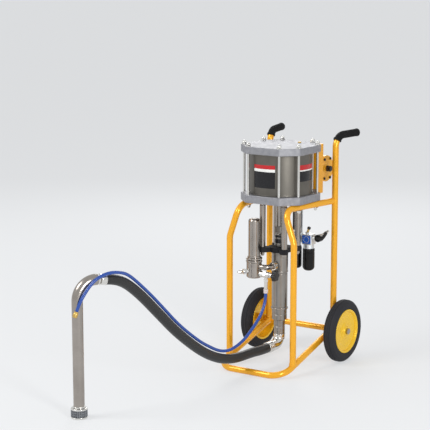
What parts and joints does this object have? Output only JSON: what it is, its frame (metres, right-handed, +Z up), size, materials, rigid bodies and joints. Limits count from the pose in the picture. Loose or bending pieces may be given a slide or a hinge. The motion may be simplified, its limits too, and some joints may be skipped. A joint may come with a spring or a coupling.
{
  "type": "airless paint sprayer",
  "caption": "Air-driven airless paint sprayer on a wheeled tube cart, with piston pump, fluid filter, air unit, suction hose with its tube, and return hose.",
  "frame": {"origin": "on the floor, at the middle of the cart's outline, without the hoses and the suction tube", "axes": "+Z up, -Y towards the front of the cart, where the hoses leave, +X to the cart's right, along the wheel axle"},
  "size_m": [0.4533, 1.3448, 0.9228],
  "materials": {
    "yellow_paint": "gloss",
    "wheel_paint": "gloss",
    "cast_grey": "matte",
    "satin_steel": "satin",
    "bright_steel": "polished",
    "dark_plate": "matte",
    "tyre_rubber": "matte",
    "hose_rubber": "satin",
    "black_plastic": "satin",
    "silver_body": "satin",
    "brass_fitting": "satin",
    "blue_hose": "gloss",
    "filter_mesh": "matte"
  },
  "bodies": {
    "cart": {"air_bracket": "bright_steel", "air_hose": "hose_rubber", "air_valve": "silver_body", "axle": "bright_steel", "axle_tube": "yellow_paint", "base_tube": "yellow_paint", "drain_pipe": "bright_steel", "drain_valve": "bright_steel", "filter_body": "bright_steel", "filter_cap": "bright_steel", "filter_element": "filter_mesh", "foot_valve": "bright_steel", "hose_coupling": "bright_steel", "inlet_elbow": "bright_steel", "left_front_leg": "yellow_paint", "left_grip": "hose_rubber", "left_upright": "yellow_paint", "left_valve_cover": "yellow_paint", "lubricator_body": "black_plastic", "lubricator_bowl": "black_plastic", "motor_bottom_plate": "cast_grey", "motor_cylinder": "satin_steel", "motor_top_plate": "cast_grey", "outlet_connector": "bright_steel", "outlet_housing": "bright_steel", "packing_nut": "bright_steel", "pump_cylinder": "bright_steel", "pump_flange": "dark_plate", "pump_tie_rod_1": "bright_steel", "pump_tie_rod_2": "bright_steel", "pump_tie_rod_3": "bright_steel", "pump_tie_rod_4": "bright_steel", "regulator_body": "silver_body", "regulator_bowl": "black_plastic", "return_fitting": "brass_fitting", "return_hose": "blue_hose", "right_front_leg": "yellow_paint", "right_grip": "hose_rubber", "right_upright": "yellow_paint", "right_valve_cover": "yellow_paint", "spray_outlet": "bright_steel", "suction_hose": "hose_rubber", "suction_strainer": "satin_steel", "suction_tube": "bright_steel", "valve_body": "yellow_paint", "valve_manifold": "yellow_paint"},
    "left_wheel": {"left_tyre": "tyre_rubber", "left_wheel_rim": "wheel_paint"},
    "right_wheel": {"right_tyre": "tyre_rubber", "right_wheel_rim": "wheel_paint"},
    "pump_drive": {"air_piston": "cast_grey", "piston_rod": "bright_steel", "rod_coupling": "satin_steel", "displacement_rod": "bright_steel"},
    "spool": {"valve_spool": "bright_steel"},
    "button": {"reset_button": "black_plastic"},
    "ball": {"inlet_ball": "bright_steel"},
    "drain_handle": {"drain_knob": "black_plastic"},
    "pressure_knob": {"regulator_knob": "black_plastic"},
    "valve_lever": {"air_valve_lever": "black_plastic"}
  },
  "joints": [
    {"name": "left_wheel_spin", "type": "hinge", "parent": "cart", "child": "left_wheel", "pos_m": [-0.195, 0.13129, 0.125], "axis": [1, 0, 0], "continuous": true},
    {"name": "right_wheel_spin", "type": "hinge", "parent": "cart", "child": "right_wheel", "pos_m": [0.195, 0.13129, 0.125], "axis": [1, 0, 0], "continuous": true},
    {"name": "pump_stroke", "type": "slide", "parent": "cart", "child": "pump_drive", "axis": [0, 0, 1], "range_m": [0, 0.1]},
    {"name": "spool_shift", "type": "slide", "parent": "cart", "child": "spool", "axis": [1, 0, 0], "range_m": [-0.012, 0.012]},
    {"name": "reset_press", "type": "slide", "parent": "cart", "child": "button", "axis": [-1, 0, 0], "range_m": [0, 0.005], "stiffness_N_per_m": 400},
    {"name": "ball_lift", "type": "slide", "parent": "cart", "child": "ball", "axis": [0, 0, 1], "range_m": [0, 0.008]},
    {"name": "drain_turn", "type": "hinge", "parent": "cart", "child": "drain_handle", "pos_m": [0.02, -0.12171, 0.374], "axis": [1, 0, 0], "range_deg": [0, 270]},
    {"name": "pressure_turn", "type": "hinge", "parent": "cart", "child": "pressure_knob", "pos_m": [0.064, 0.06829, 0.516], "axis": [0.342, 0, 0.9397], "range_deg": [0, 720]},
    {"name": "air_valve_turn", "type": "hinge", "parent": "cart", "child": "valve_lever", "pos_m": [0.118, 0.05529, 0.503], "axis": [0, 1, 0], "range_deg": [0, 90]}
  ]
}
